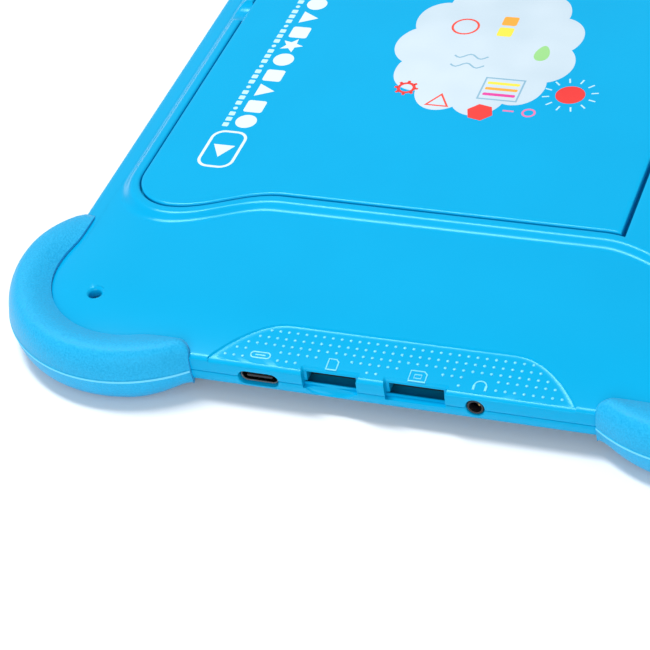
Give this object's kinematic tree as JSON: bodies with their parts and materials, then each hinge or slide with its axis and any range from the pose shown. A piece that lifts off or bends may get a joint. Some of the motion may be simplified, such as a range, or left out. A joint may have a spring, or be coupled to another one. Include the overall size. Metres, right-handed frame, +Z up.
{
  "type": "kids tablet",
  "caption": "Child's tablet with soft corner bumpers, crowned back, dog-bone plinth with a fold-out kickstand flap, side keys and a port edge.",
  "frame": {"origin": "under the middle of the tablet, on the plane of the bumpers' feet", "axes": "+X along the tablet to the edge with the ports, +Y across it to the edge with the side keys, +Z up through the back"},
  "size_m": [0.2794, 0.2024, 0.0147],
  "materials": {
    "shell_blue": "satin moulded plastic",
    "flap_blue": "satin moulded plastic with printed pictures",
    "bumper_blue": "fine-grained soft rubber",
    "screen_glass": "black-bordered cover glass",
    "display": "dark display panel",
    "steel": "stamped sheet and small steel parts",
    "board": "green circuit board",
    "black_plastic": "black moulded plastic",
    "battery": "dark pouch wrap",
    "flex": "amber film",
    "lead": "red lead",
    "lens": "dark clear window"
  },
  "bodies": {
    "tablet": {"rear_shell": "shell_blue", "front_frame": "shell_blue", "hinge_pin_port_end": "steel", "hinge_pin_far_end": "steel", "corner_bumper_port_upper": "bumper_blue", "corner_bumper_port_lower": "bumper_blue", "corner_bumper_far_upper": "bumper_blue", "corner_bumper_far_lower": "bumper_blue", "case_screw_port_upper": "steel", "case_screw_port_lower": "steel", "case_screw_far_upper": "steel", "case_screw_far_lower": "steel", "touch_glass": "screen_glass", "display_panel": "display", "display_backlight": "steel", "mid_plate": "steel", "main_board": "board", "board_screw_1": "steel", "board_screw_2": "steel", "board_screw_3": "steel", "processor_shield": "steel", "radio_shield": "steel", "side_key_board": "board", "power_switch": "steel", "volume_up_switch": "steel", "volume_down_switch": "steel", "microphone": "steel", "usb_c_shell": "steel", "usb_c_tongue": "black_plastic", "memory_card_socket": "steel", "sim_card_socket": "steel", "headphone_jack": "black_plastic", "battery_pack": "battery", "battery_lead": "lead", "display_flex": "flex", "touch_flex": "flex", "speaker_upper": "black_plastic", "speaker_lower": "black_plastic", "wifi_antenna": "flex", "cell_antenna": "flex", "rear_camera": "black_plastic", "rear_camera_window": "lens", "front_camera": "black_plastic"},
    "kickstand": {"kickstand_flap": "flap_blue"},
    "power_key": {"power_button": "shell_blue"},
    "volume_key": {"volume_rocker": "shell_blue"}
  },
  "joints": [
    {"name": "kickstand_hinge", "type": "hinge", "parent": "tablet", "child": "kickstand", "pos_m": [0, 0.0373, 0.0131], "axis": [-1, 0, 0], "range_deg": [0, 60]},
    {"name": "power_press", "type": "slide", "parent": "tablet", "child": "power_key", "axis": [0, -1, 0], "range_m": [0, 0.0006], "stiffness_N_per_m": 1500},
    {"name": "volume_rock", "type": "hinge", "parent": "tablet", "child": "volume_key", "pos_m": [-0.066, 0.0904, 0.0089], "axis": [0, 0, 1], "range_deg": [-2.5, 2.5], "stiffness_Nm_per_rad": 0.35}
  ]
}
